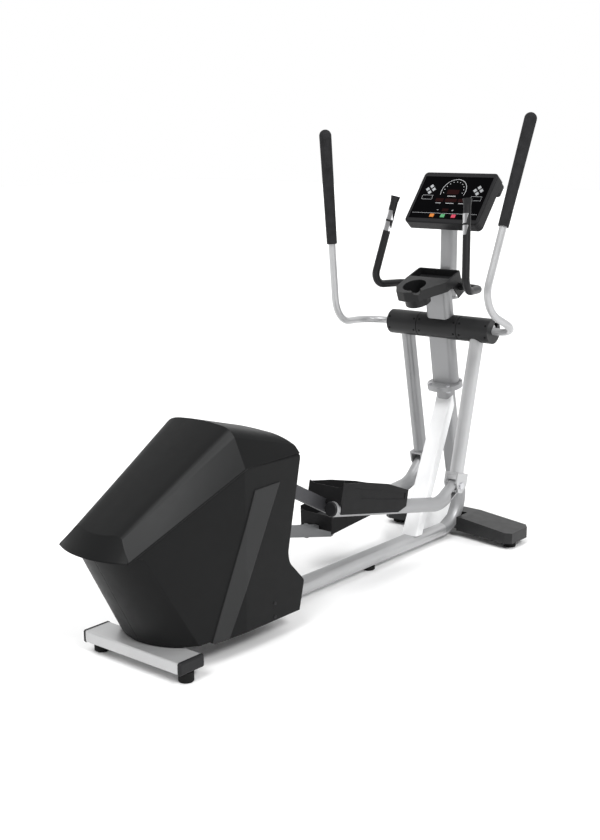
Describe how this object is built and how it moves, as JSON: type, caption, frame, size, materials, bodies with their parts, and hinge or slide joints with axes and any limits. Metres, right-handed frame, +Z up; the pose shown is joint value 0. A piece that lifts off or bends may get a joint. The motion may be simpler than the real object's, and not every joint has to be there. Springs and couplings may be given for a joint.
{
  "type": "elliptical trainer",
  "caption": "Rear-drive elliptical trainer with swinging handlebars, foot links in a rear drive housing, fixed pulse bars, a tray with a bottle cup and a tilted console.",
  "frame": {"origin": "on the floor, in the middle of the footprint's bounding box", "axes": "+X the way the user faces, towards the front stabiliser; +Y the user's left; +Z up"},
  "size_m": [2.2059, 0.777, 1.7771],
  "materials": {
    "bar_paint": "satin grey",
    "bar_paint_dark": "satin dark grey",
    "belt_rubber": "ribbed",
    "board": "solder mask",
    "brace_paint": "satin pale grey powder coat",
    "bush_brass": "sintered",
    "cap_plastic": "satin",
    "console_plastic": "satin",
    "contact_steel": "polished",
    "cover_plastic": "fine moulded grain",
    "fastener_steel": "zinc, dark",
    "flywheel_iron": "machined",
    "foot_rubber": "matt",
    "frame_paint": "satin silver powder coat",
    "grip_foam": "matt",
    "housing_plastic": "fine moulded grain",
    "inner_paint": "black",
    "panel_film": "gloss film",
    "pedal_plastic": "fine moulded grain",
    "program_key": "gloss",
    "pulley_plastic": "moulded",
    "pulse_plastic": "satin",
    "shaft_steel": "ground",
    "stabiliser_metal": "satin silver powder coat",
    "start_key": "gloss",
    "stop_key": "gloss",
    "tread_rubber": "ribbed"
  },
  "bodies": {
    "frame": {"accessory_tray": "cover_plastic", "circuit_board": "board", "console_back": "console_plastic", "console_bezel": "console_plastic", "console_panel": "panel_film", "crank_bearings": "shaft_steel", "drive_belts": "belt_rubber", "drive_frame": "inner_paint", "frame_brace": "brace_paint", "front_cross_tube": "inner_paint", "front_stabiliser_cover": "cover_plastic", "front_upright": "frame_paint", "housing_left": "housing_plastic", "housing_lid": "housing_plastic", "housing_right": "housing_plastic", "housing_screws": "fastener_steel", "idler_arm": "inner_paint", "levelling_feet": "foot_rubber", "lower_mast": "frame_paint", "magnet_brake": "inner_paint", "main_rail": "frame_paint", "mast_bolts": "fastener_steel", "pivot_axle": "shaft_steel", "pivot_centre_cover": "cover_plastic", "pulse_bars": "pulse_plastic", "pulse_plates": "contact_steel", "rear_stabiliser": "stabiliser_metal", "stabiliser_end_caps": "cap_plastic", "upper_mast": "frame_paint"},
    "crank": {"crank_axle": "shaft_steel", "crank_arms": "inner_paint", "crank_pulley": "pulley_plastic"},
    "jackshaft": {"jackshaft": "shaft_steel"},
    "flywheel": {"flywheel": "flywheel_iron"},
    "idler": {"idler_wheel": "shaft_steel"},
    "arm_right": {"arm_tube_right": "frame_paint", "arm_bushes_right": "bush_brass", "arm_cover_right": "cover_plastic", "clevis_pin_right": "fastener_steel", "handlebar_right": "frame_paint", "grip_right": "grip_foam"},
    "foot_link_right": {"link_tube_right": "frame_paint", "link_bar_right": "bar_paint_dark", "link_plug_right": "cap_plastic", "pedal_right": "pedal_plastic", "pedal_tread_right": "tread_rubber"},
    "arm_left": {"arm_tube_left": "frame_paint", "arm_bushes_left": "bush_brass", "arm_cover_left": "cover_plastic", "clevis_pin_left": "fastener_steel", "handlebar_left": "frame_paint", "grip_left": "grip_foam"},
    "foot_link_left": {"link_tube_left": "frame_paint", "link_bar_left": "bar_paint", "link_plug_left": "cap_plastic", "pedal_left": "pedal_plastic", "pedal_tread_left": "tread_rubber"},
    "program_key": {"program_key": "program_key"},
    "start_key": {"start_key": "start_key"},
    "stop_key": {"stop_key": "stop_key"}
  },
  "joints": [
    {"name": "crank_spin", "type": "hinge", "parent": "frame", "child": "crank", "pos_m": [-0.605, 0, 0.44], "axis": [0, -1, 0], "continuous": true},
    {"name": "jackshaft_spin", "type": "hinge", "parent": "frame", "child": "jackshaft", "pos_m": [-0.835, 0, 0.42], "axis": [0, -1, 0], "continuous": true},
    {"name": "flywheel_spin", "type": "hinge", "parent": "frame", "child": "flywheel", "pos_m": [-0.755, 0, 0.245], "axis": [0, -1, 0], "continuous": true},
    {"name": "idler_spin", "type": "hinge", "parent": "frame", "child": "idler", "pos_m": [-0.76783, 0, 0.32564], "axis": [0, -1, 0], "continuous": true},
    {"name": "arm_right_swing", "type": "hinge", "parent": "frame", "child": "arm_right", "pos_m": [0.861, 0, 0.922], "axis": [0, -1, 0], "range_deg": [0, 34.8]},
    {"name": "arm_left_swing", "type": "hinge", "parent": "frame", "child": "arm_left", "pos_m": [0.861, 0, 0.922], "axis": [0, -1, 0], "range_deg": [-32, 0]},
    {"name": "foot_link_right_tilt", "type": "hinge", "parent": "arm_right", "child": "foot_link_right", "pos_m": [0.71409, -0.175, 0.30526], "axis": [0, -1, 0], "range_deg": [-25.6, 0]},
    {"name": "foot_link_left_tilt", "type": "hinge", "parent": "arm_left", "child": "foot_link_left", "pos_m": [0.98408, 0.175, 0.30006], "axis": [0, -1, 0], "range_deg": [0, 24.8]},
    {"name": "program_key_press", "type": "slide", "parent": "frame", "child": "program_key", "axis": [0.7837, 0, -0.6211], "range_m": [0, 0.0012], "stiffness_N_per_m": 300, "springref_m": -0.001},
    {"name": "start_key_press", "type": "slide", "parent": "frame", "child": "start_key", "axis": [0.7837, 0, -0.6211], "range_m": [0, 0.0012], "stiffness_N_per_m": 300, "springref_m": -0.001},
    {"name": "stop_key_press", "type": "slide", "parent": "frame", "child": "stop_key", "axis": [0.7837, 0, -0.6211], "range_m": [0, 0.0012], "stiffness_N_per_m": 300, "springref_m": -0.001}
  ],
  "couplings": [
    {"joint": "jackshaft_spin", "follows": "crank_spin", "ratio": 5.3846},
    {"joint": "flywheel_spin", "follows": "crank_spin", "ratio": 17.949},
    {"joint": "idler_spin", "follows": "crank_spin", "ratio": -5},
    {"joint": "arm_left_swing", "follows": "arm_right_swing", "ratio": -0.918},
    {"joint": "foot_link_right_tilt", "follows": "arm_right_swing", "ratio": -0.732},
    {"joint": "foot_link_left_tilt", "follows": "arm_right_swing", "ratio": 0.71}
  ]
}
